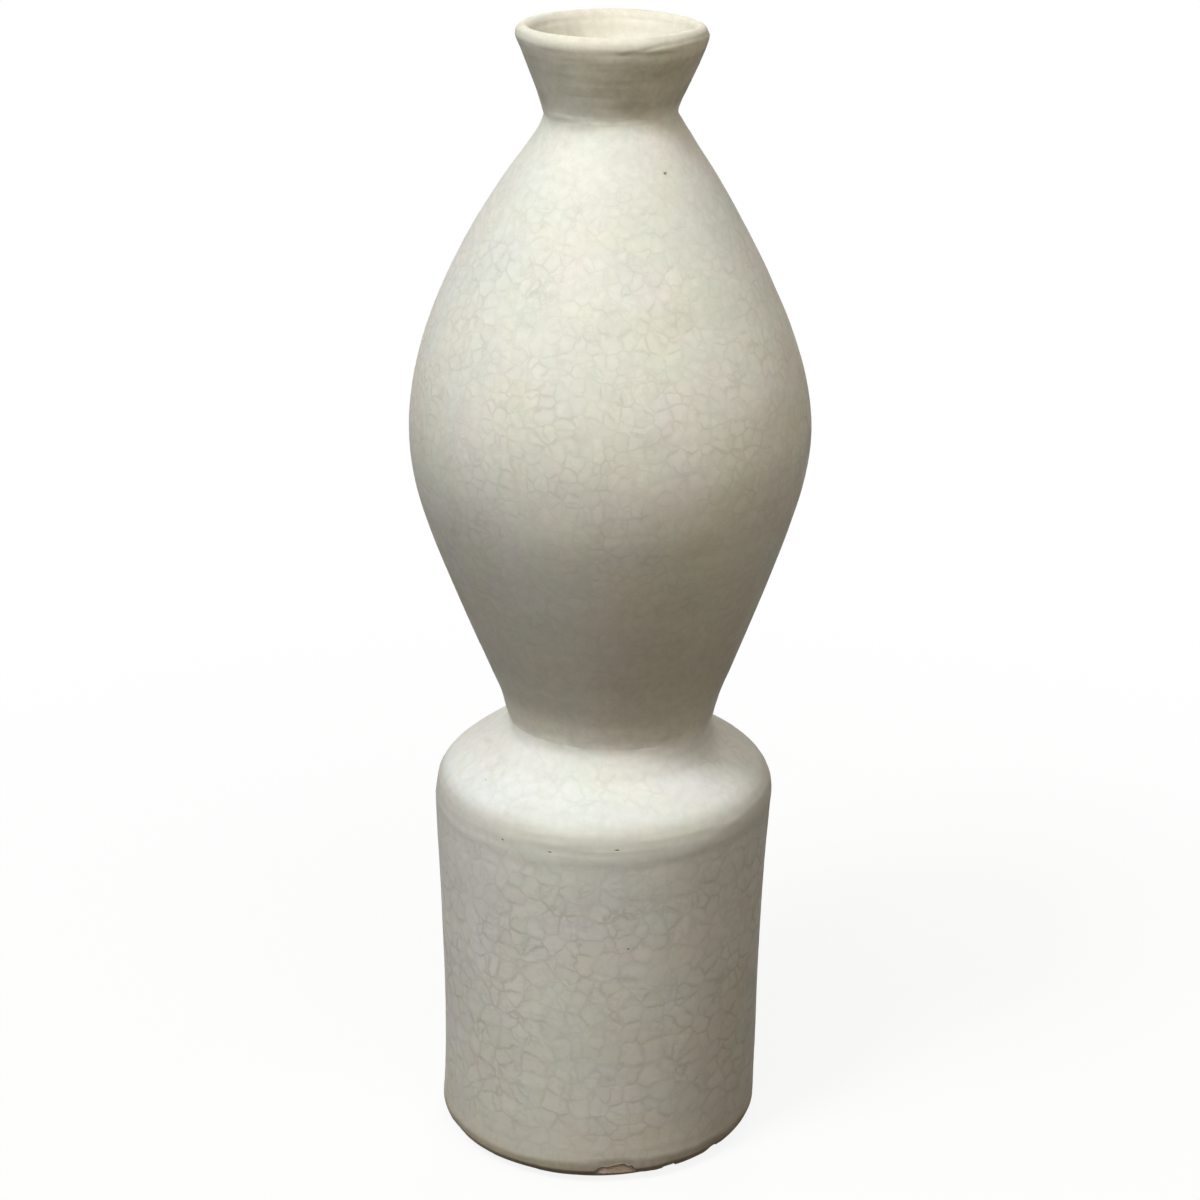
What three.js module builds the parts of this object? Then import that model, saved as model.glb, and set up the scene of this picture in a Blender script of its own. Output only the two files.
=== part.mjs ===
// A tall hollow floor vase: rings of fired clay, lapped together, under a coat of plaster.
// Millimetres, +Z up, origin at the middle of the foot, on the floor.

import * as THREE from 'three';

// Rises from one level of the outside to the next, from the floor to the top of the lip
const drumHeight = 280;
const shoulderRise = 40;
const waistRise = 42;
const flareRise = 128;
const wideRise = 102;
const upperBellyRise = 244;
const mouthRise = 50;
const lipHeight = 14;

// Outside radii of the finished vase at those levels, or the step from the radius below
const footRadius = 128.4;
const drumFlare = 6.1;
const shoulderStepIn = 17.5;
const waistRadius = 83;
const flareRadius = 129.7;
const bellyRadius = 153.7;
const neckRadius = 49.2;
const mouthFlare = 19.4;
const lipOverhang = 2.1;

// Lean of the outside there: radius gained for each millimetre of height
const drumTopLean = 0.066;
const shoulderLean = -1.46;
const underWaistLean = -0.06;
const overWaistLean = 0.31;
const flareLean = 0.347;
const underNeckLean = -0.65;
const overNeckLean = 0.33;
const mouthLean = 0.41;

// Thicknesses, square to the wall
const coat = 3;
const lining = 2.6;
const clayWall = 9;
const mouthClayWall = 5;
const floorThickness = 12;

// Worn edge of the foot: the coat stops a little above the floor and the clay is bevelled
const wornWidth = 12;
const wornHeight = 12;
const wornCurve = 1.5;
const bevelHeight = 9;
const bareHeight = 5;

// Joints between the rings, and the thin layer of slip between clay and plaster
const coilHalfHeight = 13;
const tongueHeight = 6;
const tongueClearance = 0.3;
const plugHeight = 5;
const plugClearance = 0.3;
const slip = 0.3;

// Fineness of the facets
const sides = 40;
const lipSteps = 6;
const creaseBlend = 6;

// Levels above the floor
const shoulderZ = drumHeight + shoulderRise;
const waistZ = shoulderZ + waistRise;
const flareZ = waistZ + flareRise;
const bellyZ = flareZ + wideRise;
const neckZ = bellyZ + upperBellyRise;
const mouthZ = neckZ + mouthRise;
const lipMiddleZ = mouthZ + lipHeight / 2;
const topZ = mouthZ + lipHeight;

// Radii that follow from those above
const drumTopRadius = footRadius + drumFlare;
const shoulderRadius = drumTopRadius - shoulderStepIn;
const mouthRadius = neckRadius + mouthFlare;
const lipRadius = mouthRadius + lipOverhang;

// Depths of the layers under the outside of the vase
const clayDepth = coat + slip;
const bodyDepth = clayDepth + clayWall;
const mouthClayDepth = clayDepth + mouthClayWall;
const liningDepth = mouthClayDepth + slip;
const mouthDepth = liningDepth + lining;

// Outside of the vase, as cubic curves that each join two levels
function stretch(startZ, startRadius, startLean, endZ, endRadius, endLean) {
  return { startZ, startRadius, startLean, endZ, endRadius, endLean };
}

const stretches = [
  stretch(wornHeight, footRadius, 0, drumHeight, drumTopRadius, drumTopLean),
  stretch(drumHeight, drumTopRadius, drumTopLean, shoulderZ, shoulderRadius, shoulderLean),
  stretch(shoulderZ, shoulderRadius, shoulderLean, waistZ, waistRadius, underWaistLean),
  stretch(waistZ, waistRadius, overWaistLean, flareZ, flareRadius, flareLean),
  stretch(flareZ, flareRadius, flareLean, bellyZ, bellyRadius, 0),
  stretch(bellyZ, bellyRadius, 0, neckZ, neckRadius, underNeckLean),
  stretch(neckZ, neckRadius, overNeckLean, mouthZ, mouthRadius, mouthLean),
];

function outsideRadius(z) {
  if (z < wornHeight) return footRadius;
  if (z > mouthZ) return mouthRadius + mouthLean * (z - mouthZ);
  const part = stretches.find((each) => z <= each.endZ);
  const rise = part.endZ - part.startZ;
  const t = (z - part.startZ) / rise;
  const s = 1 - t;
  const fromStart = s * s * ((1 + 2 * t) * part.startRadius + t * rise * part.startLean);
  const fromEnd = t * t * ((1 + 2 * s) * part.endRadius - s * rise * part.endLean);
  return fromStart + fromEnd;
}

// Point at a depth under the outside, measured square to the wall; the lean is blended over a crease
function wallPoint(z, depth) {
  const gained = outsideRadius(z + creaseBlend) - outsideRadius(z - creaseBlend);
  const lean = gained / (2 * creaseBlend);
  return new THREE.Vector2(outsideRadius(z) - depth * Math.hypot(1, lean), z);
}

// Points through several levels at one depth, in the order given
function wallLine(levels, depth) {
  return levels.map((z) => wallPoint(z, depth));
}

function evenLevels(startZ, endZ, steps) {
  return Array.from({ length: steps + 1 }, (_, i) => startZ + ((endZ - startZ) * i) / steps);
}

// Half ellipse over the lip, from its outside radius to its inside radius
function lipArc(outerRadius, innerRadius, crestZ) {
  const middle = (outerRadius + innerRadius) / 2;
  const halfWidth = (outerRadius - innerRadius) / 2;
  const height = crestZ - lipMiddleZ;
  return Array.from({ length: lipSteps + 1 }, (_, i) => {
    const turn = (Math.PI * i) / lipSteps;
    return new THREE.Vector2(middle + halfWidth * Math.cos(turn), lipMiddleZ + height * Math.sin(turn));
  });
}

// Levels of the facets, shared by clay and coat so that their faces stay parallel
const waistCoilBottomZ = waistZ - coilHalfHeight;
const waistCoilTopZ = waistZ + coilHalfHeight;
const neckCoilBottomZ = neckZ - coilHalfHeight;
const neckCoilTopZ = neckZ + coilHalfHeight;
const drumLevels = evenLevels(floorThickness, drumHeight, 3);
const shoulderLevels = evenLevels(drumHeight, waistCoilBottomZ, 6);
const underWaistLevels = evenLevels(waistCoilBottomZ, waistZ, 2);
const lowerBellyLevels = evenLevels(waistCoilTopZ, bellyZ, 6);
const upperBellyLevels = evenLevels(bellyZ, neckCoilBottomZ, 6);
const mouthLevels = evenLevels(neckCoilTopZ, mouthZ, 2);

// Materials
const clay = new THREE.MeshStandardMaterial({ color: 0xa9876d, roughness: 0.9, metalness: 0 });
const plaster = new THREE.MeshStandardMaterial({ color: 0xdedacb, roughness: 0.7, metalness: 0 });

// Solid of revolution; the profile runs up its outside and down its inside
function turned(name, profile, material) {
  const shape = new THREE.LatheGeometry(profile, sides);
  shape.rotateX(Math.PI / 2);
  const mesh = new THREE.Mesh(shape, material);
  mesh.name = name;
  return mesh;
}

function turnedRing(name, profile, material) {
  return turned(name, [...profile, profile[0].clone()], material);
}

// Tongue on the inner half of a ring's top; the outer half is the seat of the next ring
function tongue(seatZ, innerDepth) {
  const face = (clayDepth + innerDepth) / 2 + tongueClearance;
  const tipZ = seatZ + tongueHeight;
  return [wallPoint(seatZ, face), wallPoint(tipZ, face), wallPoint(tipZ, innerDepth)];
}

// Rebate on the inner half of a ring's bottom, which goes over the tongue of the ring below
function rebate(seatZ, innerDepth) {
  const face = (clayDepth + innerDepth) / 2;
  const roofZ = seatZ + tongueHeight + tongueClearance;
  return [wallPoint(roofZ, innerDepth), wallPoint(roofZ, face), wallPoint(seatZ, face)];
}

// Inside of a clay ring, from its top down; it needs only half of the levels
function insideLine(levels, innerDepth) {
  const coarse = levels.slice(1, -1).filter((_, i) => i % 2 === 0);
  return wallLine(coarse.reverse(), innerDepth);
}

function clayRing(name, levels, innerDepth) {
  return turnedRing(name, [
    ...wallLine(levels, clayDepth),
    ...tongue(levels[levels.length - 1], innerDepth),
    ...insideLine(levels, innerDepth),
    ...rebate(levels[0], innerDepth),
  ], clay);
}

// Floor of the vase, with a bevelled lower edge and a plug that centres the drum wall
function footSlab() {
  const rimRadius = wallPoint(floorThickness, clayDepth).x;
  const plugRadius = wallPoint(floorThickness, bodyDepth).x - plugClearance;
  const plugTopZ = floorThickness + plugHeight;
  return turned('foot_slab', [
    new THREE.Vector2(0, 0),
    new THREE.Vector2(footRadius - wornWidth, 0),
    new THREE.Vector2(rimRadius, bevelHeight),
    new THREE.Vector2(rimRadius, floorThickness),
    new THREE.Vector2(plugRadius, floorThickness),
    new THREE.Vector2(plugRadius, plugTopZ),
    new THREE.Vector2(0, plugTopZ),
  ], clay);
}

// Straight wall of the drum; it stands on the floor slab with its whole thickness
function drumWall() {
  return turnedRing('drum_wall', [
    ...wallLine(drumLevels, clayDepth),
    ...tongue(drumHeight, bodyDepth),
    ...insideLine(drumLevels, bodyDepth),
    wallPoint(floorThickness, bodyDepth),
  ], clay);
}

// Coil in the neck crease; above a ledge it thins to the wall of the mouth
function neckCoil() {
  return turnedRing('neck_coil', [
    ...wallLine([neckCoilBottomZ, neckZ, neckCoilTopZ], clayDepth),
    ...tongue(neckCoilTopZ, mouthClayDepth),
    wallPoint(neckZ, mouthClayDepth),
    wallPoint(neckZ, bodyDepth),
    ...rebate(neckCoilBottomZ, bodyDepth),
  ], clay);
}

// Rolled coil on the rim of the mouth, round on top
function lipCoil() {
  const outer = wallPoint(lipMiddleZ, clayDepth).x;
  const inner = wallPoint(lipMiddleZ, mouthClayDepth).x;
  return turnedRing('lip_coil', [
    wallPoint(mouthZ, clayDepth),
    ...lipArc(outer, inner, topZ - clayDepth),
    ...rebate(mouthZ, mouthClayDepth),
  ], clay);
}

// Coat of the drum and its shoulder; its lower edge thins out over the bevel of the foot
function drumCoat() {
  const worn = (z) => footRadius - wornWidth * (1 - z / wornHeight) ** wornCurve;
  const claySide = wallPoint(floorThickness, clayDepth).x;
  const bevelWidth = claySide - (footRadius - wornWidth);
  const bevelAtEdge = claySide - bevelWidth * (1 - bareHeight / bevelHeight);
  const bevelSlip = slip * Math.hypot(1, bevelWidth / bevelHeight);
  const levels = [...drumLevels, ...shoulderLevels.slice(1), ...underWaistLevels.slice(1)];
  return turnedRing('plaster_drum', [
    new THREE.Vector2(worn(bareHeight), bareHeight),
    new THREE.Vector2(worn(bevelHeight), bevelHeight),
    ...wallLine(levels, 0),
    ...wallLine([...levels].reverse(), coat),
    new THREE.Vector2(claySide + slip, bevelHeight),
    new THREE.Vector2(bevelAtEdge + bevelSlip, bareHeight),
  ], plaster);
}

// Coat of the belly, from the waist crease to the neck crease
function bellyCoat() {
  const levels = [waistZ, ...lowerBellyLevels, ...upperBellyLevels.slice(1), neckZ];
  return turnedRing('plaster_belly', [
    ...wallLine(levels, 0),
    ...wallLine([...levels].reverse(), coat),
  ], plaster);
}

// Coat of the mouth: up the outside, over the lip, and down the inside to the ledge in the neck
function mouthCoat() {
  const levels = [neckZ, ...mouthLevels];
  const down = [...levels].reverse();
  const innerLip = wallPoint(lipMiddleZ, mouthDepth).x;
  const underOuter = wallPoint(lipMiddleZ, coat).x;
  const underInner = wallPoint(lipMiddleZ, liningDepth).x;
  return turnedRing('plaster_mouth', [
    ...wallLine(levels, 0),
    ...lipArc(lipRadius, innerLip, topZ),
    ...wallLine(down, mouthDepth),
    ...wallLine(levels, liningDepth),
    ...lipArc(underOuter, underInner, topZ - coat).reverse(),
    ...wallLine(down, coat),
  ], plaster);
}

const vase = new THREE.Group();
vase.add(
  footSlab(),
  drumWall(),
  clayRing('drum_shoulder', shoulderLevels, bodyDepth),
  clayRing('waist_coil', [...underWaistLevels, waistCoilTopZ], bodyDepth),
  clayRing('belly_lower', lowerBellyLevels, bodyDepth),
  clayRing('belly_upper', upperBellyLevels, bodyDepth),
  neckCoil(),
  clayRing('mouth_funnel', mouthLevels, mouthClayDepth),
  lipCoil(),
  drumCoat(),
  bellyCoat(),
  mouthCoat(),
);

export default vase;
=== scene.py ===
import math

import bpy
import numpy as np
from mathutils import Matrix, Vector


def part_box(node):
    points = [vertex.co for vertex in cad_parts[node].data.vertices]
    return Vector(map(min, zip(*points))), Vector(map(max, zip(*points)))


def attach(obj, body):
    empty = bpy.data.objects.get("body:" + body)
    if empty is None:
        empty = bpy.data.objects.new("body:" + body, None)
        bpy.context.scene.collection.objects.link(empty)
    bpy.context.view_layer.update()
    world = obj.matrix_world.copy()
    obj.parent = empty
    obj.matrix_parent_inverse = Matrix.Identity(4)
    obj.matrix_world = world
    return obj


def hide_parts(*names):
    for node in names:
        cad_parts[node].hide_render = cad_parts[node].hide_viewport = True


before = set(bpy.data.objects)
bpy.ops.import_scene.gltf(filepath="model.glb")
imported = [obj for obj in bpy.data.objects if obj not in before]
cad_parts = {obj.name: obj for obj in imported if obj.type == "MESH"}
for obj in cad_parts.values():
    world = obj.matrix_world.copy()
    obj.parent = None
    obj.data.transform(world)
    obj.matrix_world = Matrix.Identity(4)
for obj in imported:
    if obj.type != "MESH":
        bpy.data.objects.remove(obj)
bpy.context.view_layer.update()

MM = 0.001

# Fineness of the turned pieces: sides round the axis, and the distance between rows
COAT_SIDES = 384
CLAY_SIDES = 160
DRUM_ROW = 1.8 * MM
BELLY_ROW = 2.7 * MM
MOUTH_ROW = 1.2 * MM
CLAY_ROW = 5 * MM
HIDDEN_ROW = 12 * MM
# An outline that bends more than this has a corner there, and a coat that folds more than this is sharp
CORNER = math.radians(40)
FOLD = math.radians(65)
TOUCH = 1e-6

# Levels of the vase, from the frame, and the ridge round the top of the drum
FOOT_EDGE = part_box("plaster_drum")[0].z
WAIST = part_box("plaster_drum")[1].z
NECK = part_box("plaster_mouth")[0].z
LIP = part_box("lip_coil")[0].z
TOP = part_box("plaster_mouth")[1].z
RIDGE = 302 * MM

# How far the hand-built body leans to the right at each level of the turned shape, in mm
LEAN = [
    (0, -6.4), (20, -5.4), (60, -4.2), (100, -3.5), (180, -3.0), (250, -2.3), (285, -1.4), (296, -0.5),
    (310, -1.3), (322, -2.5), (334, -4.5), (346, -1), (354, 2.7), (362, 3.7), (370, 4.2), (385, 4.8),
    (405, 4.8), (450, 4.1), (530, 3.4), (592, 3.9), (630, 3.4), (700, 1.7), (750, 1.9), (790, 3.6),
    (820, 5.4), (829, 5.2), (838, 3.8), (845, 3.9), (855, 4.8), (870, 5.5), (885, 5.9), (900, 4.4),
]
# How far the plaster is thicker there, or thinner, than the turned shape, in mm
GIRTH = [
    (5, 2.2), (9, 1.8), (14, 1.1), (20, 0.6), (40, 0.2), (240, 0.2), (265, 0.3), (280, 0), (294, 0),
    (300, 0.3), (306, 0.9), (311, 1.2), (315, 0.6), (324, 1), (330, 0), (337, -1.1), (349, -0.7),
    (356, -1.2), (362, -1.7), (369, -1.8), (380, -2), (388, -1.5), (400, -0.7), (425, -0.3), (460, 0),
    (530, 0.2), (570, 0.45), (600, 0.35), (660, -0.3), (700, -0.7), (770, -0.2), (790, -0.5),
    (810, -1.5), (825, -1.6), (833, -0.8), (838, 0.1), (845, -0.3), (855, 0.1), (870, 0.4), (885, 0.1),
    (890, 0.5), (894, 0.3), (897, 0), (900, 0),
]
# How far out of round the body is: shares of the radius, oval and three-lobed
OVAL = 0.003
LOBES = 0.0015
# How far the crease of the waist sags below its turned level, how much more so on the right, and how much
# less so in front, a little to the left. What lies within about this reach of it sags too.
WAIST_SAG = 5.7 * MM
WAIST_TILT = 1.0 * MM
WAIST_LIFT = 3.0 * MM
LIFT_TURN = math.radians(-15)
SAG_REACH = 18 * MM
# How much deeper the crease is cut at the sides than in front, in mm
WAIST_CUT = 2.1

# Pits in the plaster: (turn from the front to the right, height, radius, width, height of the pit)
PITS = [
    (34.1, 803.1, 69.3, 1.6, 1.2),
    (17.1, 319.7, 117.4, 1.5, 1.1),
    (4.1, 298.7, 133.0, 2.6, 0.9),
    (-35.4, 296.0, 133.5, 1.6, 1.0),
    (-54.3, 325.2, 110.0, 1.4, 1.0),
    (-18.0, 294.5, 134.0, 2.0, 0.6),
    (9.0, 212.0, 131.0, 1.3, 1.0),
]
# Places where the worn edge of the foot has lost more plaster: (turn, half width, top above the floor)
CHIPS = [
    (7.0, 6.0, 16.0),
    (27.0, 3.4, 8.0),
    (48.0, 3.0, 8.5),
    (-63.0, 4.0, 7.0),
    (118.0, 4.0, 14.0),
    (-140.0, 6.0, 16.0),
]
# Places where the edge of the foot is worn flat: (turn, half width, depth in mm)
FLATS = [(4, 12, 1.2), (-26, 14, 0.6)]
# Top of the worn edge all round the foot, darkened partly by wear and dirt and partly by painted shade,
# and how much higher it is in front
WORN_EDGE = 15.5 * MM
WORN_RISE = 5 * MM
# Radius at which the edge of the foot is made uneven
EDGE_CIRCLE = 0.13
# Clay beyond this radius is its outer face, and how far that stands out, broken, in a chip
INNER_CLAY = 0.117
CLAY_BREAK = 2.4 * MM

# Takes the height out of a place, for noise that is the same all the way up
NO_HEIGHT = np.array((1, 1, 0))


def near(value, middle, spread):
    """1 at the middle, falling smoothly to 0 about two spreads away."""
    return np.exp(-(((value - middle) / spread) ** 2))


def ramp(value, start, end):
    """0 before the start, 1 after the end, and smooth between them."""
    t = np.clip((value - start) / (end - start), 0, 1)
    return t * t * (3 - 2 * t)


def near_turn(turn, middle, spread):
    """1 at a turn from the front to the right, given in degrees, falling smoothly to 0."""
    return near(turn, math.radians(middle), math.radians(spread))


def ramp_turn(turn, start, end):
    """0 before one turn and 1 after another, given in degrees, and smooth between them."""
    return ramp(turn, math.radians(start), math.radians(end))


def lattice(cells, seed):
    """A random number from -1 to 1 for each whole-numbered point of a lattice."""
    hashed = cells[..., 0] * 73856093 ^ cells[..., 1] * 19349663 ^ cells[..., 2] * 83492791
    hashed = (hashed + seed * 668265263) & 0xFFFFFFFF
    hashed = ((hashed ^ (hashed >> 15)) * 2246822519) & 0xFFFFFFFF
    hashed = ((hashed ^ (hashed >> 13)) * 3266489917) & 0xFFFFFFFF
    return ((hashed ^ (hashed >> 16)) & 0xFFFF) / 32767.5 - 1


def wander(spots, grain, seed):
    """Smooth noise from -1 to 1. Its grain is in metres, given once or for each axis."""
    cells = spots / grain
    base = np.floor(cells).astype(np.int64)
    t = cells - base
    t = t * t * (3 - 2 * t)
    total = 0
    for corner in np.ndindex(2, 2, 2):
        share = np.prod(np.where(corner, t, 1 - t), axis=-1)
        total = total + share * lattice(base + corner, seed)
    return total


# Outlines of the turned pieces, read from the frame
def section(node):
    """Outline (radius, height) of a CAD node in front of its axis, from its lowest outer point upwards."""
    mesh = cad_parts[node].data
    spots = np.round([vertex.co for vertex in mesh.vertices], 6)
    in_front = (np.abs(spots[:, 0]) < TOUCH) & (spots[:, 1] < TOUCH)
    links = {}
    for edge in mesh.edges:
        if all(in_front[i] for i in edge.vertices):
            a, b = ((-spots[i][1], spots[i][2]) for i in edge.vertices)
            if a != b:
                links.setdefault(a, set()).add(b)
                links.setdefault(b, set()).add(a)
    ends = [point for point, linked in links.items() if len(linked) == 1]
    start = min(ends or links, key=lambda point: (point[1], -point[0]))
    line = [start, max(links[start], key=lambda point: point[1])]
    while True:
        onward = [point for point in links[line[-1]] if point != line[-2]]
        if not onward:
            return np.array(line)
        line.append(onward[0])
        if line[-1] == start:
            return np.array(line)


def unit(vectors):
    return vectors / np.linalg.norm(vectors, axis=-1, keepdims=True)


def smooth_run(points, row):
    """Points about a row apart on the smooth curve through the points of a run, without its last one."""
    legs = np.diff(points, axis=0)
    lengths = np.linalg.norm(legs, axis=1)
    ways = legs / lengths[:, None]
    bends = unit(ways[:-1] / lengths[:-1, None] + ways[1:] / lengths[1:, None])
    tangents = np.vstack([ways[:1], bends, ways[-1:]])
    reach = np.concatenate([lengths[:1], np.minimum(lengths[:-1], lengths[1:]), lengths[-1:]])
    line = []
    for i, length in enumerate(lengths):
        steps = math.ceil(length / row)
        for t in np.arange(steps) / steps:
            s = 1 - t
            line.append(
                s * s * (1 + 2 * t) * points[i]
                + t * t * (1 + 2 * s) * points[i + 1]
                + s * s * t * tangents[i] * reach[i]
                - t * t * s * tangents[i + 1] * reach[i + 1]
            )
    return line


def fine_outline(node, show_row, hidden_row):
    """Smooth outline of a node, and how many of its points lie on the side that shows, its first run."""
    points = section(node)
    ways = unit(np.diff(points, axis=0))
    turns = np.arccos(np.clip(np.sum(ways[:-1] * ways[1:], axis=1), -1, 1))
    corners = [0, *(np.nonzero(turns > CORNER)[0] + 1), len(points) - 1]
    line = []
    shown = 0
    for first, last in zip(corners[:-1], corners[1:]):
        line += smooth_run(points[first:last + 1], hidden_row if line else show_row)
        shown = shown or len(line)
    return np.array(line + [points[-1]]), shown


# Unevenness of the hand-built body, smoothed, at even levels in mm
levels = np.linspace(-20, 920, 377)
smooth_lean, smooth_girth = (
    np.convolve(np.pad(np.interp(levels, *zip(*table)), 1, mode="edge"), [0.25, 0.5, 0.25], mode="valid")
    for table in (LEAN, GIRTH)
)


def body_spots(turn, radius, level):
    """Places on the leaning, sagging body for turns from the front to the right, radii and levels."""
    round_off = 1 + OVAL * np.cos(2 * turn + 0.7) + LOBES * np.cos(3 * turn + 9 * level)
    across = MM * np.interp(level / MM, levels, smooth_lean)
    x = radius * round_off * np.sin(turn) + across
    y = -radius * round_off * np.cos(turn)
    sag = WAIST_SAG + WAIST_TILT * np.sin(turn) - WAIST_LIFT * ramp(np.cos(turn - LIFT_TURN), 0.25, 1)
    height = level - sag * near(level, WAIST, SAG_REACH)
    return np.stack([x, y, height], axis=-1)


def settle(level):
    """How far what lies under the plaster gives way where the plaster is thinner."""
    return MM * np.minimum(np.interp(level / MM, levels, smooth_girth), 0) * (level < NECK)


def turns_round(sides):
    """Turns of the sides of a piece from the front to the right, between half a turn either way."""
    return (np.arange(sides) * math.tau / sides + math.pi) % math.tau - math.pi


def turned_mesh(name, radius, height, closed):
    """Mesh of a grid of radii and heights: a row for each point of the outline, a column for each turn."""
    rows, sides = radius.shape
    turn = np.arange(sides) * math.tau / sides
    spots = body_spots(turn[None, :] + np.zeros_like(radius), radius, height)
    rings = rows if closed else rows - 1
    i, j = np.meshgrid(np.arange(rings), np.arange(sides), indexing="ij")
    above = (i + 1) % rows
    beside = (j + 1) % sides
    corners = [i * sides + j, i * sides + beside, above * sides + beside, above * sides + j]
    faces = np.stack(corners, axis=-1)
    mesh = bpy.data.meshes.new(name)
    mesh.from_pydata(spots.reshape(-1, 3).tolist(), [], faces.reshape(-1, 4).tolist())
    mesh.update()
    mesh.shade_smooth()
    return mesh


def place(name, mesh, node, material):
    """A piece of the vase that stands for a CAD node."""
    piece = bpy.data.objects.new(name, mesh)
    bpy.context.scene.collection.objects.link(piece)
    mesh.materials.append(material)
    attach(piece, "root")
    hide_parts(node)
    return piece


# Chips of the foot
def chipped(turn):
    """1 at the turns where the foot has lost more plaster."""
    share = 0
    for middle, half, _ in CHIPS:
        share = np.maximum(share, ramp(np.abs(np.degrees(turn) - middle) / half, 1.6, 1.0))
    return share


def chip_line(turn):
    """Height to which the plaster is worn away above the floor, all round the foot."""
    around = np.stack([np.sin(turn), np.cos(turn), np.zeros_like(turn)], axis=-1) * EDGE_CIRCLE
    worn = FOOT_EDGE + MM * (0.6 + 0.8 * wander(around, 0.03, 17) + 0.6 * wander(around, 0.008, 18))
    ragged = 2.0 * wander(around, 0.0035, 19) + 1.8 * wander(around, 0.008, 20)
    for middle, half, top in CHIPS:
        off = np.abs(np.degrees(turn) - middle) / half + 0.2 * ragged
        worn = np.maximum(worn, FOOT_EDGE + (MM * (top + ragged) - FOOT_EDGE) * ramp(off, 1.3, 0.7))
    return worn


def broken_clay(turn, radius, height):
    """How far the broken edge of the clay stands out where the plaster is chipped off."""
    edge = ramp(height, 0, 5 * MM) * ramp(height, 26 * MM, 20 * MM) * (radius > INNER_CLAY)
    return CLAY_BREAK * chipped(turn) * edge


# Relief of the plaster. Each part gives how far it stands out, in mm, and how it is coloured there: above
# 0 darker, with stains and painted shade, below 0 a pale smear.
# Outside is 0 on the inner side of the mouth.
def fillet(height, corner, radius, slope):
    """Soft plaster in a crease between two slopes: how far it fills the corner."""
    return slope * (np.hypot(height - corner, radius) - np.abs(height - corner))


def facing_front(turn):
    """1 in front, 0 at the sides and behind."""
    return ramp(np.cos(turn), 0.05, 0.6)


def skin_relief(spots, height, outside):
    """Thickness by level, and slow waves in a surface that was smoothed by hand."""
    thickness = np.interp(height / MM, levels, smooth_girth) * outside
    waves = 0.35 * wander(spots, 0.06, 1) + 0.12 * wander(spots, 0.022, 2)
    return thickness + waves + 0.05 * wander(spots, (0.03, 0.03, 0.0035), 3) * outside


def foot_relief(spots, height, turn):
    """Foot that is worn all round, its worn edge darkened partly by wear and dirt and partly by painted
    shade, flat in places and thinner above its chips.
    """
    around = spots * NO_HEIGHT
    flat = sum(depth * near_turn(turn, middle, spread) for middle, spread, depth in FLATS)
    worn_line = WORN_EDGE + MM * (1.5 * wander(around, 0.03, 28) + 0.8 * wander(around, 0.009, 29))
    worn_line = worn_line + WORN_RISE * near_turn(turn, 8, 32)
    worn = ramp(height, worn_line + 3 * MM, worn_line - 3 * MM)
    broken_top = chip_line(turn)
    thinned = chipped(turn) * ramp(height, broken_top + 9 * MM, broken_top + 1 * MM)
    out = -flat * near(height, FOOT_EDGE, 6 * MM) - 0.4 * worn - 0.4 * thinned
    # The worn edge is darker: partly wear and dirt, partly painted shade under the edge.
    return out, 0.9 * worn


def waist_relief(spots, height, turn, lumps, grit):
    """Crease that is soft in front and cut deeper at the sides, and a wiped ridge round the drum."""
    facing = facing_front(turn)
    soft = facing * (0.8 + 0.2 * wander(spots * NO_HEIGHT, 0.025, 22))
    cut = near(height, WAIST - 2.5 * MM, 4 * MM) * (1 - facing)
    in_waist = near(height, WAIST + 2 * MM, 9 * MM)
    on_ridge = near(height, RIDGE, 9 * MM)
    streaks = wander(spots, (0.04, 0.04, 0.0024), 34)
    out = fillet(height, WAIST, 9 * MM, 0.25) / MM * soft - WAIST_CUT * cut
    out = out + (0.5 * lumps + 0.6 * grit) * in_waist + 0.2 * (lumps + streaks) * on_ridge
    stain_and_shade = 0.3 * lumps * in_waist - 0.4 * ramp(streaks, -0.1, 0.7) * on_ridge
    return out, stain_and_shade


def neck_relief(spots, height, turn, outside, lumps, grit):
    """Rough crease with a torn line in front, darkened along it with painted shadow, and a thin flap of
    plaster under it.
    """
    around = spots * NO_HEIGHT
    facing = facing_front(turn)
    in_neck = near(height, NECK + 2 * MM, 8 * MM)
    neck_line = NECK + MM * (3.5 + 2.4 * wander(around, 0.03, 8) + 1.0 * wander(around, 0.008, 9))
    torn = ramp(wander(around, 0.016, 10), -0.2, 0.5) * near_turn(turn, 12, 24)
    # The torn line is a groove, painted dark along it as a shadow line.
    tear_and_shadow = near(height, neck_line, 1.2 * MM) * (0.1 + 0.5 * torn)
    flap = near(height, neck_line - 2.8 * MM, 2.6 * MM) * ramp(wander(around, 0.02, 15), -0.4, 0.5)
    filled = fillet(height, NECK, (2 + 3 * facing) * MM, 0.5) / MM * (0.5 + 0.5 * facing)
    out = filled + (0.25 * lumps + grit) * in_neck - 0.4 * tear_and_shadow + 0.1 * flap
    stain_and_shade = 0.6 * tear_and_shadow - 0.3 * flap + 0.35 * lumps * in_neck
    return out * outside, stain_and_shade * outside


def plaster_relief(spots, height, turn, outside):
    """Relief, stains and painted shade of every coat."""
    lumps = wander(spots, (0.018, 0.018, 0.006), 4) + 0.5 * wander(spots, (0.008, 0.008, 0.004), 5)
    grit = 0.18 * wander(spots, (0.005, 0.005, 0.003), 30)
    parts = [
        foot_relief(spots, height, turn),
        waist_relief(spots, height, turn, lumps, grit),
        neck_relief(spots, height, turn, outside, lumps, grit),
    ]
    out = skin_relief(spots, height, outside) + sum(part[0] for part in parts)
    return out, sum(part[1] for part in parts)


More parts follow.
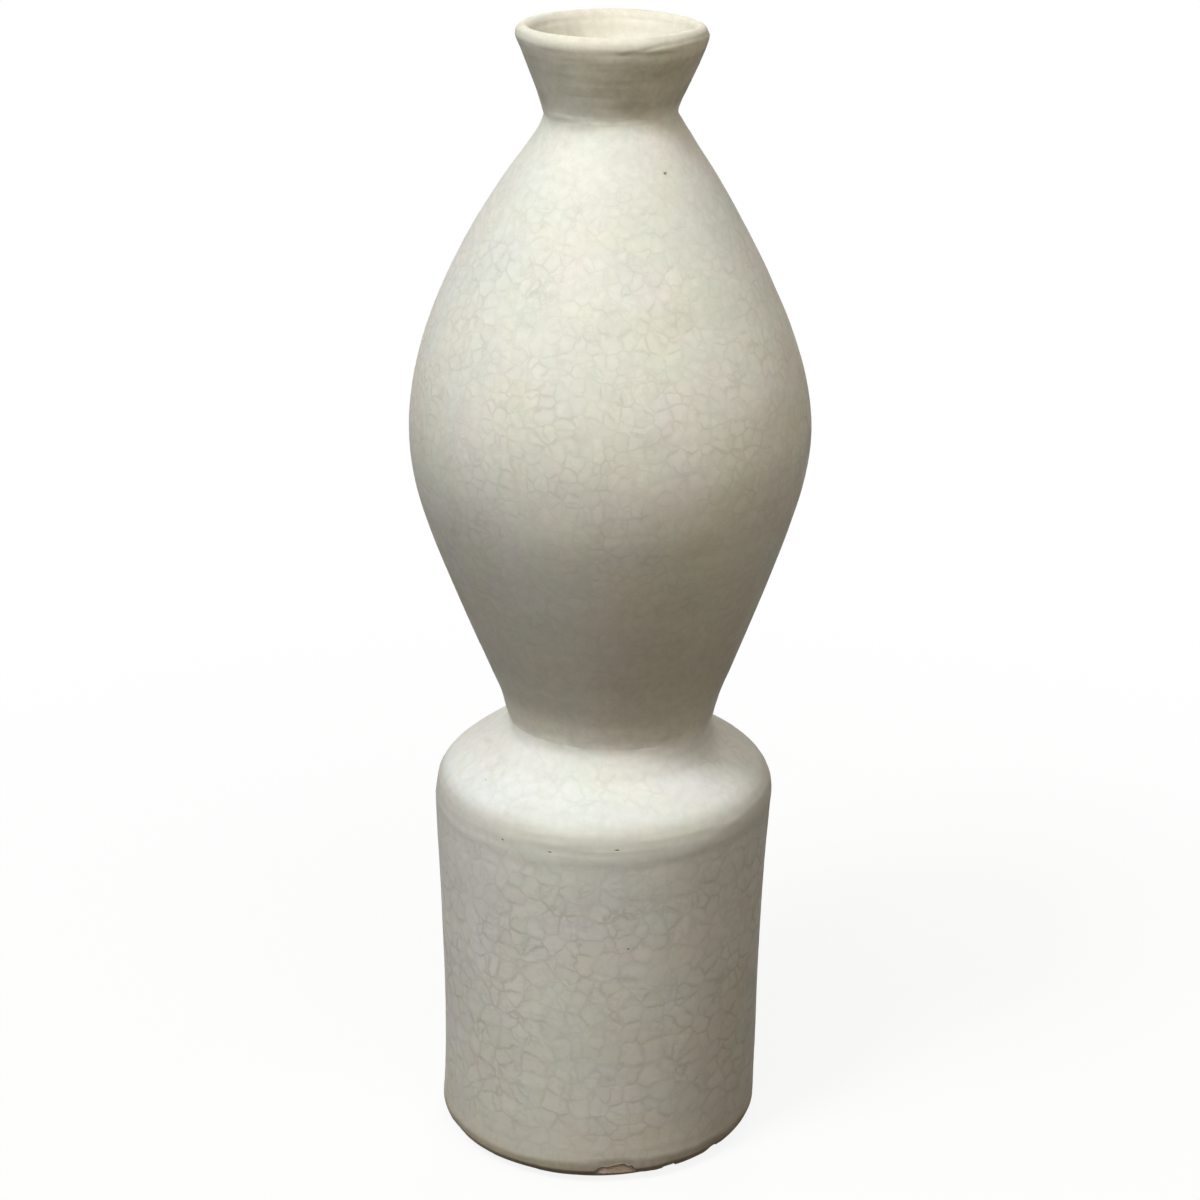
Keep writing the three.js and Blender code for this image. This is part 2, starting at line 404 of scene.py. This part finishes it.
def mouth_tones(spots, height, turn, outside, right):
    """Darker patches on the outside of the mouth, more so on the right, and rubbed, paler plaster inside
    it with darker patches on its left, partly stains and partly painted shade.
    """
    outer_dark_top = LIP - 1 * MM - 2 * MM * (1 - right) + 2.5 * MM * wander(spots * NO_HEIGHT, 0.015, 31)
    outer_dark = ramp(height, outer_dark_top + 4 * MM, outer_dark_top - 3 * MM)
    outer_dark = outer_dark * ramp(height, NECK + 4 * MM, NECK + 14 * MM)
    patches = 0.38 + 0.35 * wander(spots, (0.02, 0.02, 0.012), 25) + 0.2 * right
    inside = (1 - outside) * ramp(height, LIP + 12 * MM, LIP + 6 * MM)
    # Darker patches on the left of the inside: partly stains, partly painted shade.
    left_inside = inside * ramp(np.sin(turn), 0.15, -0.4) * ramp(wander(spots, 0.012, 27), -0.6, 0.4)
    return outer_dark * patches * outside - 0.4 * inside + 0.6 * left_inside


def lip_relief(spots, height, turn, outside):
    """Soft seam under the rolled lip, clear in front on the right, with a second lap there; both are
    darkened with painted shadow.
    """
    around = spots * NO_HEIGHT
    wobble = MM * (0.9 * wander(around, 0.035, 11) + 0.4 * wander(around, 0.01, 12))
    right = ramp_turn(turn, -8, 10) * ramp_turn(turn, 150, 95)
    blend = near(height, LIP - 0.5 * MM, 4.5 * MM) * (1 - right) * outside
    seam_line = LIP + 3 * MM + 5.5 * MM * ramp_turn(turn, 0, 35) + wobble
    clear = 0.05 + 0.7 * right + 0.2 * wander(around, 0.02, 13)
    seam = near(height, seam_line, 1.2 * MM) * clear * outside
    lapped = ramp_turn(turn, 0, 8) * ramp_turn(turn, 55, 30) * outside
    lap_line = LIP + 3 * MM + 0.5 * wobble
    lap = near(height, lap_line, 1.2 * MM) * lapped
    bead = near(height, lap_line + 2.2 * MM, 1.6 * MM) * lapped
    smear_line = LIP - 2.5 * MM - 4 * MM * wander(around, 0.02, 26)
    smear = ramp(wander(spots, (0.02, 0.02, 0.006), 23), -0.1, 0.7) * (1 - right) * outside
    smear = smear * near(height, smear_line, 3 * MM)
    inner_fill = near(height, LIP + 5 * MM, 4.5 * MM) * (1 - outside)
    strokes = wander(spots, (0.02, 0.02, 0.0016), 14) * ramp(height, LIP - 2 * MM, LIP + 3 * MM)
    chatter = wander(spots, (0.03, 0.03, 0.0022), 24) * outside
    out = 0.1 * blend - 0.5 * seam - 0.35 * lap + 0.15 * bead + 0.12 * smear + 0.9 * inner_fill
    out = out + 0.15 * strokes + 0.07 * chatter
    # The seam and the lap are painted dark as shadow lines; the smear is pale.
    stain_and_shade = 0.45 * seam + 0.4 * lap - 0.4 * smear
    return out, stain_and_shade + mouth_tones(spots, height, turn, outside, right)


def lip_rise(turn, level):
    """How much higher the lip was left in front than behind, where it is peaked."""
    rise = 1.2 + 1.2 * np.cos(turn) - 1.8 * near_turn(turn, 115, 35) - 0.2 * near_turn(turn, -118, 30)
    rise = rise + 0.2 * near_turn(np.abs(turn), 180, 30)
    return MM * rise * ramp(level, LIP - 4 * MM, LIP + 9 * MM)


# The turned pieces
def relief_ways(line):
    """Ways in which relief moves the points of an outline: across it, and level in the two creases."""
    way = np.gradient(line, axis=0)
    outward = unit(np.stack([way[:, 1], -way[:, 0]], axis=-1))
    crease = np.maximum(near(line[:, 1:], WAIST, 5 * MM), near(line[:, 1:], NECK, 5 * MM))
    return unit(outward * (1 - crease) + np.array([1, 0]) * crease)


def sharpen(mesh, rows):
    """Sharp edges where a coat folds and along some of its rows."""
    mesh.set_sharp_from_angle(angle=FOLD)
    for edge in mesh.edges:
        first, second = (i // COAT_SIDES for i in edge.vertices)
        if first == second and first in rows:
            edge.use_edge_sharp = True


def coat(node, material, row, reliefs):
    """A plaster coat with its relief, and its stains and painted shade, on the side that shows."""
    name = node + "_coat"
    line, shown = fine_outline(node, row, HIDDEN_ROW)
    line = line[:-1]
    show = slice(0, shown + 1)
    turn = turns_round(COAT_SIDES)
    radius = np.repeat(line[:, :1], COAT_SIDES, axis=1)
    height = np.repeat(line[:, 1:], COAT_SIDES, axis=1)
    turns = turn[None, :] + 0 * radius[show]
    spots = body_spots(turns, radius[show], height[show])
    outside = np.ones((shown + 1, 1))
    outside[line[show, 1].argmax() + 1:] = 0
    marks = [relief(spots, height[show], turns, outside) for relief in reliefs]
    out = MM * sum(mark[0] for mark in marks)
    ways = relief_ways(line[show])
    radius += settle(height) * (np.arange(len(line)) > shown)[:, None]
    rise = lip_rise(turn[None, :], height)
    radius[show] += out * ways[:, :1]
    height[show] += out * ways[:, 1:]
    height = np.minimum(height, TOP) + rise
    height = np.maximum(height, chip_line(turn)[None, :] + 0.12 * (height - FOOT_EDGE))
    mesh = turned_mesh(name, radius, height, True)
    sharpen(mesh, (0, shown))
    stain_and_shade = np.zeros_like(radius)
    stain_and_shade[show] = sum(mark[1] for mark in marks)
    mesh.attributes.new("stain_and_shade", "FLOAT", "POINT").data.foreach_set("value", stain_and_shade.ravel())
    return place(name, mesh, node, material)


def clay_ring(node, material):
    """A ring of the clay body, broken at the chips of the foot."""
    line, _ = fine_outline(node, CLAY_ROW, CLAY_ROW)
    closed = line[0][0] > TOUCH
    if closed:
        line = line[:-1]
    radius = np.repeat(line[:, :1], CLAY_SIDES, axis=1)
    height = np.repeat(line[:, 1:], CLAY_SIDES, axis=1)
    turn = turns_round(CLAY_SIDES)[None, :]
    radius += np.where(radius > TOUCH, settle(height) + broken_clay(turn, radius, height), 0)
    mesh = turned_mesh(node + "_ring", radius, height, closed)
    mesh.set_sharp_from_angle(angle=CORNER)
    return place(node + "_ring", mesh, node, material)


# Node trees
def add(tree, kind, inputs=None, **settings):
    """A node with its settings, its inputs linked or set."""
    made = tree.nodes.new(kind)
    for key, value in settings.items():
        setattr(made, key, value)
    for key, value in (inputs or {}).items():
        if isinstance(value, bpy.types.NodeSocket):
            tree.links.new(value, made.inputs[key])
        else:
            made.inputs[key].default_value = value
    return made


def calc(tree, operation, *values):
    return add(tree, "ShaderNodeMath", dict(enumerate(values)), operation=operation).outputs[0]


def product(tree, first, *factors):
    for factor in factors:
        first = calc(tree, "MULTIPLY", first, factor)
    return first


def vector(tree, operation, *values, output=0):
    return add(tree, "ShaderNodeVectorMath", dict(enumerate(values)), operation=operation).outputs[output]


def scaled(tree, value, factor):
    return add(tree, "ShaderNodeVectorMath", {0: value, "Scale": factor}, operation="SCALE").outputs[0]


def fade(tree, value, start, end, low=0.0, high=1.0):
    """Smooth change from low, at the start, to high, at the end."""
    inputs = {"Value": value, "From Min": start, "From Max": end, "To Min": low, "To Max": high}
    return add(tree, "ShaderNodeMapRange", inputs, interpolation_type="SMOOTHSTEP").outputs["Result"]


def mixed(tree, factor, a, b):
    """From a colour to the second one, which is plain."""
    return add(tree, "ShaderNodeMix", {0: factor, 6: a, 7: (*b, 1)}, data_type="RGBA").outputs[2]


def noise(tree, spot, grain, detail=3.0, stretch=(1, 1, 1), output="Fac"):
    """Noise whose largest grains are about that many metres, and wider along the stretch."""
    spot = vector(tree, "DIVIDE", spot, stretch)
    inputs = {"Vector": spot, "Scale": 1 / grain, "Detail": detail, "Roughness": 0.55}
    return add(tree, "ShaderNodeTexNoise", inputs).outputs[output]


def new_material(name):
    """A material with its tree, its shader and the place on the body in metres."""
    material = bpy.data.materials.new(name)
    material.use_nodes = True
    tree = material.node_tree
    return material, tree, tree.nodes["Principled BSDF"], add(tree, "ShaderNodeTexCoord").outputs["Object"]


def set_bump(tree, shader, distance, relief):
    bump = add(tree, "ShaderNodeBump", {"Strength": 1.0, "Distance": distance, "Height": relief})
    tree.links.new(bump.outputs[0], shader.inputs["Normal"])


# Plaster at each height in mm: (height, its colour, how strong the crackle is). The colours hold painted
# shade and light as well as the plaster's own tone.
REGIONS = [
    # Darker at the edge of the foot: partly wear and dirt, partly painted shade under the edge
    (6, (0.42, 0.35, 0.27), 0.0),
    (12, (0.50, 0.43, 0.34), 0.0),
    (17, (0.67, 0.62, 0.54), 0.1),
    (22, (0.77, 0.73, 0.66), 0.5),
    (60, (0.80, 0.78, 0.72), 0.9),
    (120, (0.81, 0.79, 0.74), 1.0),
    (200, (0.86, 0.84, 0.81), 1.0),
    (270, (0.85, 0.835, 0.81), 0.9),
    # Darker band round the rim of the drum: partly a wiped edge, partly painted shade
    (284, (0.81, 0.795, 0.77), 0.6),
    (293, (0.72, 0.70, 0.67), 0.3),
    (301, (0.68, 0.66, 0.62), 0.2),
    (308, (0.645, 0.625, 0.585), 0.2),
    (312, (0.745, 0.73, 0.71), 0.2),
    # Whiter on the shoulder: partly a whiter wash, partly painted light
    (316, (0.79, 0.79, 0.785), 0.2),
    (330, (0.81, 0.81, 0.805), 0.5),
    (346, (0.81, 0.805, 0.79), 0.3),
    (354, (0.80, 0.79, 0.77), 0.2),
    # Darker at the waist and under the belly: painted shade
    (360, (0.74, 0.72, 0.68), 0.1),
    (368, (0.66, 0.63, 0.57), 0.0),
    (385, (0.65, 0.615, 0.55), 0.2),
    (420, (0.645, 0.615, 0.555), 0.35),
    (480, (0.735, 0.71, 0.66), 0.6),
    (530, (0.78, 0.765, 0.725), 0.8),
    (600, (0.775, 0.755, 0.705), 1.0),
    (660, (0.82, 0.80, 0.745), 1.0),
    (730, (0.80, 0.785, 0.745), 1.0),
    (790, (0.775, 0.76, 0.72), 0.6),
    (828, (0.78, 0.76, 0.72), 0.2),
    # Darker in the neck crease: painted shade
    (842, (0.70, 0.67, 0.62), 0.1),
    (862, (0.72, 0.69, 0.63), 0.2),
    (886, (0.74, 0.705, 0.63), 0.1),
    (900, (0.74, 0.70, 0.62), 0.1),
]
# Colours of the cracks' stains, of the painted shade in pits, of dirt and painted shade, and of pale
# smears
IN_CRACKS = (0.40, 0.36, 0.31)
PIT_SHADE = (0.22, 0.18, 0.15)
GRIME_AND_SHADE = (0.25, 0.215, 0.16)
SMEAR = (0.86, 0.84, 0.77)
# How far the crackle is bent by noise of each size: (grain, reach), in metres
BENDS = [(0.06, 0.020), (0.012, 0.0075), (0.004, 0.0028)]
# The smaller crackle against the larger: size of its cells, width and strength of its lines
SMALL_CELL = 0.52
SMALL_WIDTH = 0.8
SMALL_STRENGTH = 0.45
# Stained plaster beside a crack: how far it reaches, and how strong it is
HALO_REACH = 5 * MM
HALO = 0.20
# How cloudy the plaster is where it is fully crackled
CRACKLED_CLOUD = 0.14
# How much lighter one cell may be than another
CELL_TONE = 0.05
SMALL_CELL_TONE = 0.02
# Tint of the plaster, and how far it drifts, in red, green and blue
TINT = (0.93, 0.955, 0.915)
TINT_DRIFT = (0.14, 0.09, 0.17)
# Sets the small cells of each large cell apart from those of the next
CELL_SHIFT = 40.0
# Keeps a crack that slopes into the plaster from showing more than about 4 times as wide
LEAST_SLOPE = 0.06
# How deep the bump of the plaster and of the clay is
PLASTER_BUMP = 0.12 * MM
CLAY_BUMP = 0.4 * MM
# Colours of the clay
CLAY_PALE = (0.68, 0.55, 0.45)
CLAY_DARK = (0.54, 0.42, 0.34)
CLAY_GRIT = (0.36, 0.26, 0.20)


def by_height(tree, height):
    """Colour of the plaster at a height, painted shade and light included, and the strength of its
    crackle.
    """
    bands = add(tree, "ShaderNodeValToRGB", {0: calc(tree, "DIVIDE", height, TOP)})
    stops = bands.color_ramp.elements
    while len(stops) < len(REGIONS):
        stops.new(1.0)
    for stop, (level, colour, strength) in zip(stops, REGIONS):
        stop.position = level * MM / TOP
        stop.color = (*colour, strength)
    return bands.outputs


def cracks_between(tree, spot, normal, cell, shift=None):
    """Cracks between cells of that size: (metres to the crack, its way across, colour of the cell)."""
    spot = scaled(tree, spot, 1 / cell)
    if shift is not None:
        spot = vector(tree, "ADD", spot, scaled(tree, shift, CELL_SHIFT))
    inputs = {"Vector": spot, "Scale": 1.0, "Randomness": 0.78}
    first = add(tree, "ShaderNodeTexVoronoi", inputs, feature="F1")
    second = add(tree, "ShaderNodeTexVoronoi", inputs, feature="F2")
    here, there = first.outputs["Position"], second.outputs["Position"]
    across = vector(tree, "NORMALIZE", vector(tree, "SUBTRACT", there, here))
    middle = scaled(tree, vector(tree, "ADD", here, there), 0.5)
    depth = vector(tree, "DOT_PRODUCT", vector(tree, "SUBTRACT", middle, spot), across, output=1)
    tilt = vector(tree, "DOT_PRODUCT", across, normal, output=1)
    steep = calc(tree, "SUBTRACT", 1.0, calc(tree, "MULTIPLY", tilt, tilt))
    along = calc(tree, "DIVIDE", depth, calc(tree, "SQRT", calc(tree, "MAXIMUM", steep, LEAST_SLOPE)))
    return calc(tree, "MULTIPLY", along, cell), across, first.outputs["Color"]


def crackle(tree, spot, cell, width):
    """Stained crackle in two sizes: (its strength, colour of the large cell, colour of the small one)."""
    normal = add(tree, "ShaderNodeNewGeometry").outputs["True Normal"]
    bent = spot
    for grain, reach in BENDS:
        push = vector(tree, "SUBTRACT", noise(tree, spot, grain, 1.0, output="Color"), (0.5, 0.5, 0.5))
        bent = vector(tree, "ADD", bent, scaled(tree, push, reach))
    main, across, cells = cracks_between(tree, bent, normal, cell)
    fine, _, small = cracks_between(tree, bent, normal, cell * SMALL_CELL, cells)

    tilted = calc(tree, "ABSOLUTE", add(tree, "ShaderNodeSeparateXYZ", {0: across}).outputs["Z"])
    level_run = fade(tree, tilted, 0.2, 0.9, 0.75, 1.0)
    strong = fade(tree, noise(tree, spot, 0.013, 2.0), 0.38, 0.62, 0.3, 1.0)
    broad = fade(tree, noise(tree, spot, 0.055, 2.0), 0.36, 0.58, 0.55, 1.0)
    weak = fade(tree, noise(tree, vector(tree, "ADD", spot, (3, 0, 0)), 0.022, 2.0), 0.42, 0.66)
    soft = fade(tree, noise(tree, vector(tree, "ADD", spot, (0, 5, 0)), 0.03, 1.0), 0.35, 0.65, 0.7, 1.5)

    line = fade(tree, main, 0.0, product(tree, soft, width), 1.0, 0.0)
    line = product(tree, line, level_run, strong, broad)
    hair = product(tree, fade(tree, fine, 0.0, width * SMALL_WIDTH, 1.0, 0.0), weak, SMALL_STRENGTH)
    halo = product(tree, fade(tree, main, 0.0, HALO_REACH, 1.0, 0.0), broad, HALO)
    return calc(tree, "ADD", calc(tree, "MAXIMUM", line, hair), halo), cells, small


def plaster_tone(tree, spot, wiped, strokes, presence, cloud, cells, small):
    """How light the plaster is: wipe marks, cells that differ a little, clouds and specks."""
    tone = calc(tree, "MULTIPLY_ADD", wiped, strokes, 1 - strokes / 2)
    cell_tone = vector(tree, "DOT_PRODUCT", cells, (CELL_TONE, 0, 0), output=1)
    small_tone = vector(tree, "DOT_PRODUCT", small, (0, SMALL_CELL_TONE, 0), output=1)
    even_tone = (CELL_TONE + SMALL_CELL_TONE) / 2
    cell_tone = calc(tree, "SUBTRACT", calc(tree, "ADD", cell_tone, small_tone), even_tone)
    tone = calc(tree, "ADD", tone, product(tree, cell_tone, presence))
    cloudy = calc(tree, "MULTIPLY_ADD", presence, CRACKLED_CLOUD - cloud, cloud)
    speckled = calc(tree, "SUBTRACT", cloudy, CRACKLED_CLOUD)
    for grain, detail, strength in ((0.007, 3.0, cloudy), (0.0025, 2.0, speckled)):
        change = calc(tree, "SUBTRACT", noise(tree, spot, grain, detail), 0.5)
        tone = calc(tree, "ADD", tone, product(tree, change, strength))
    return tone


def stained_and_shaded(tree, colour, spot):
    """Colour with the dirt and painted shade, and the pale smears, of the relief."""
    stain_and_shade = add(tree, "ShaderNodeAttribute", attribute_name="stain_and_shade").outputs["Fac"]
    broken = fade(tree, noise(tree, spot, 0.008), 0.3, 0.65, 0.6, 1.0)
    dark = product(tree, calc(tree, "MINIMUM", calc(tree, "MAXIMUM", stain_and_shade, 0.0), 1.0), broken)
    pale = product(tree, calc(tree, "MAXIMUM", product(tree, stain_and_shade, -1.0), 0.0), broken)
    colour = mixed(tree, product(tree, dark, 0.6), colour, GRIME_AND_SHADE)
    return mixed(tree, calc(tree, "MINIMUM", pale, 0.7), colour, SMEAR)


def pitted(tree, spot):
    """1 in a pit of the plaster."""
    depth = 0.0
    for turn, height, radius, width, tall in PITS:
        middle = body_spots(math.radians(turn), radius * MM, height * MM)
        off = vector(tree, "SUBTRACT", spot, tuple(middle))
        off = vector(tree, "DIVIDE", off, (width * MM, width * MM, tall * MM))
        off = vector(tree, "LENGTH", off, output=1)
        depth = calc(tree, "MAXIMUM", fade(tree, off, 0.5, 1.1, 1.0, 0.0), depth)
    return depth


def plaster_material(name, cell, width, strength, strokes, cloud):
    """Rubbed plaster: pale, with crackle in two sizes whose cracks hold stains, wipe marks, pits painted
    dark as shade, soft tints, and painted shade and light by height.
    """
    material, tree, shader, spot = new_material(name)
    wiped = noise(tree, spot, 0.005, stretch=(9, 9, 1))
    level = add(tree, "ShaderNodeSeparateXYZ", {0: spot}).outputs["Z"]
    wobble = fade(tree, level, 20 * MM, 60 * MM, 2.5 * MM, 7 * MM)
    drift = product(tree, calc(tree, "SUBTRACT", wiped, 0.5), wobble)
    colour, presence = by_height(tree, calc(tree, "ADD", level, drift))
    cracks, cells, small = crackle(tree, spot, cell, width)
    cracks = product(tree, cracks, presence, strength)

    tints = noise(tree, spot, 0.05, output="Color")
    tint = vector(tree, "MULTIPLY_ADD", tints, TINT_DRIFT, TINT)
    tone = plaster_tone(tree, spot, wiped, strokes, presence, cloud, cells, small)
    colour = scaled(tree, vector(tree, "MULTIPLY", colour, tint), tone)
    colour = stained_and_shaded(tree, mixed(tree, cracks, colour, IN_CRACKS), spot)
    pits = pitted(tree, spot)
    # The pits are painted dark as shade.
    colour = mixed(tree, product(tree, pits, 0.75), colour, PIT_SHADE)
    tree.links.new(colour, shader.inputs["Base Color"])

    rough = fade(tree, noise(tree, spot, 0.02), 0.3, 0.7, 0.55, 0.7)
    tree.links.new(rough, shader.inputs["Roughness"])
    shader.inputs["Specular IOR Level"].default_value = 0.06

    relief = calc(tree, "MULTIPLY_ADD", noise(tree, spot, 0.0015), 0.3, product(tree, wiped, 0.6))
    relief = calc(tree, "SUBTRACT", relief, product(tree, cracks, 0.8))
    relief = calc(tree, "SUBTRACT", relief, product(tree, pits, 4.0))
    set_bump(tree, shader, PLASTER_BUMP, relief)
    return material


def clay_material():
    """Fired earthenware, pink-brown and gritty."""
    material, tree, shader, spot = new_material("fired_clay")
    cloudy = fade(tree, noise(tree, spot, 0.03, 4.0), 0.35, 0.65)
    grit = noise(tree, spot, 0.0012, 2.0)
    colour = mixed(tree, cloudy, (*CLAY_PALE, 1), CLAY_DARK)
    colour = mixed(tree, fade(tree, grit, 0.6, 0.72, 0, 0.5), colour, CLAY_GRIT)
    tree.links.new(colour, shader.inputs["Base Color"])
    shader.inputs["Roughness"].default_value = 0.9
    shader.inputs["Specular IOR Level"].default_value = 0.3
    set_bump(tree, shader, CLAY_BUMP, grit)
    return material


# The vase
clay = clay_material()
drum_plaster = plaster_material(
    "drum_plaster", cell=16 * MM, width=2.3 * MM, strength=0.34, strokes=0.05, cloud=0.20
)
belly_plaster = plaster_material(
    "belly_plaster", cell=11 * MM, width=1.7 * MM, strength=0.25, strokes=0.06, cloud=0.30
)
mouth_plaster = plaster_material(
    "mouth_plaster", cell=15 * MM, width=1.2 * MM, strength=0.20, strokes=0.10, cloud=0.30
)

coat("plaster_drum", drum_plaster, DRUM_ROW, [plaster_relief])
coat("plaster_belly", belly_plaster, BELLY_ROW, [plaster_relief])
coat("plaster_mouth", mouth_plaster, MOUTH_ROW, [plaster_relief, lip_relief])
for ring in (
    "foot_slab", "drum_wall", "drum_shoulder", "waist_coil", "belly_lower",
    "belly_upper", "neck_coil", "mouth_funnel", "lip_coil",
):
    clay_ring(ring, clay)


# Stage
FLOOR_HALF = 6.0
FLOOR_LEVEL = -0.3 * MM
# Colour of the floor for the light that it throws back, and the shadow on it for the lens
FLOOR_BOUNCE = (0.08, 0.07, 0.06)
FLOOR_PALE = (0.9, 0.9, 0.9)
# How much of the floor is plain white up to the first distance from the axis. At the second all of it is.
FLOOR_WHITE = 0.88
SHADOW_NEAR = 0.2
SHADOW_END = 1.3
# Colour of the light from straight above
SKY = (0.295, 0.240, 0.212)

# What the lamps face, and the lamps: (name, turn and rise in degrees, distance, width, level, colour)
LIT_SPOT = (0, 0, 0.5)
LAMPS = [
    ("key", -45, 55, 4.0, 1.1, 0.665, (0.93, 1, 0.94)),
    ("top", 0, 65, 4.0, 1.4, 0.184, (0.68, 0.82, 1)),
    ("fill", 30, 35, 1.6, 1.0, 0.23, (1, 0.91, 0.62)),
    ("side", 85, 24, 0.72, 0.4, 0.045, (1, 0.97, 0.88)),
    ("back", 172, 35, 3.0, 1.2, 0.22, (1, 0.97, 0.8)),
]

# The camera stands in front, and looks down by this many degrees
CAMERA_SPOT = (-0.004, -2.115, 1.284)
CAMERA_DIP = 21.51
LENS = 87.09
SENSOR = 36


def white_to_lens(tree):
    """1 for rays from the camera, a mirror or glass, which see the plain white ground."""
    rays = add(tree, "ShaderNodeLightPath").outputs
    seen = calc(tree, "MAXIMUM", rays["Is Camera Ray"], rays["Is Glossy Ray"])
    return calc(tree, "MAXIMUM", seen, rays["Is Transmission Ray"])


def make_floor():
    """Pale floor that keeps the shadow of the vase."""
    sides = ((-1, -1), (1, -1), (1, 1), (-1, 1))
    corners = [(x * FLOOR_HALF, y * FLOOR_HALF, FLOOR_LEVEL) for x, y in sides]
    mesh = bpy.data.meshes.new("floor")
    mesh.from_pydata(corners, [], [(0, 1, 2, 3)])
    material = bpy.data.materials.new("pale_floor")
    material.use_nodes = True
    tree = material.node_tree
    tree.nodes.clear()
    bounce = add(tree, "ShaderNodeBsdfDiffuse", {"Color": (*FLOOR_BOUNCE, 1)}).outputs[0]
    pale = add(tree, "ShaderNodeBsdfDiffuse", {"Color": (*FLOOR_PALE, 1)}).outputs[0]
    white = add(tree, "ShaderNodeEmission", {"Color": (1, 1, 1, 1), "Strength": 1.0}).outputs[0]
    spot = add(tree, "ShaderNodeTexCoord").outputs["Object"]
    distance = vector(tree, "LENGTH", spot, output=1)
    away = fade(tree, distance, SHADOW_NEAR, SHADOW_END, FLOOR_WHITE, 1.0)
    lit = add(tree, "ShaderNodeMixShader", {0: away, 1: pale, 2: white}).outputs[0]
    shown = add(tree, "ShaderNodeMixShader", {0: white_to_lens(tree), 1: bounce, 2: lit}).outputs[0]
    add(tree, "ShaderNodeOutputMaterial", {"Surface": shown})
    mesh.materials.append(material)
    floor = bpy.data.objects.new("floor", mesh)
    bpy.context.scene.collection.objects.link(floor)


def make_sky():
    """Soft light from above, in front and on the left, under a plain white ground for the lens."""
    world = bpy.data.worlds.new("studio")
    bpy.context.scene.world = world
    world.use_nodes = True
    tree = world.node_tree
    tree.nodes.clear()
    spot = add(tree, "ShaderNodeTexCoord").outputs["Generated"]
    way = add(tree, "ShaderNodeSeparateXYZ", {0: spot}).outputs
    up = calc(tree, "MAXIMUM", way["Z"], 0.0)
    left = calc(tree, "SUBTRACT", 1.0, way["X"])
    front = calc(tree, "SUBTRACT", 1.15, way["Y"])
    dome = scaled(tree, SKY, product(tree, up, left, front))
    colour = mixed(tree, white_to_lens(tree), dome, (1, 1, 1))
    light = add(tree, "ShaderNodeBackground", {"Color": colour, "Strength": 1.0}).outputs[0]
    add(tree, "ShaderNodeOutputWorld", {"Surface": light})


def make_lamp(name, turn, rise, away, size, level, colour):
    """Round lamp that faces the vase; at level 1 it lights a facing surface to the colour as written."""
    light = bpy.data.lights.new(name, "AREA")
    light.shape = "DISK"
    light.size = size
    light.energy = level * (math.pi * away) ** 2
    light.color = colour
    lamp = bpy.data.objects.new(name, light)
    bpy.context.scene.collection.objects.link(lamp)
    way = Vector((math.sin(turn) * math.cos(rise), -math.cos(turn) * math.cos(rise), math.sin(rise)))
    lamp.location = Vector(LIT_SPOT) + away * way
    lamp.rotation_euler = way.to_track_quat("Z", "Y").to_euler()


def make_camera():
    camera_data = bpy.data.cameras.new("camera")
    camera_data.lens = LENS
    camera_data.sensor_width = SENSOR
    camera = bpy.data.objects.new("camera", camera_data)
    bpy.context.scene.collection.objects.link(camera)
    camera.location = CAMERA_SPOT
    camera.rotation_euler = (math.radians(90 - CAMERA_DIP), 0, 0)
    bpy.context.scene.camera = camera


make_floor()
make_sky()
for name, turn, rise, *rest in LAMPS:
    make_lamp(name, math.radians(turn), math.radians(rise), *rest)
make_camera()

bpy.context.scene.view_settings.view_transform = "Standard"
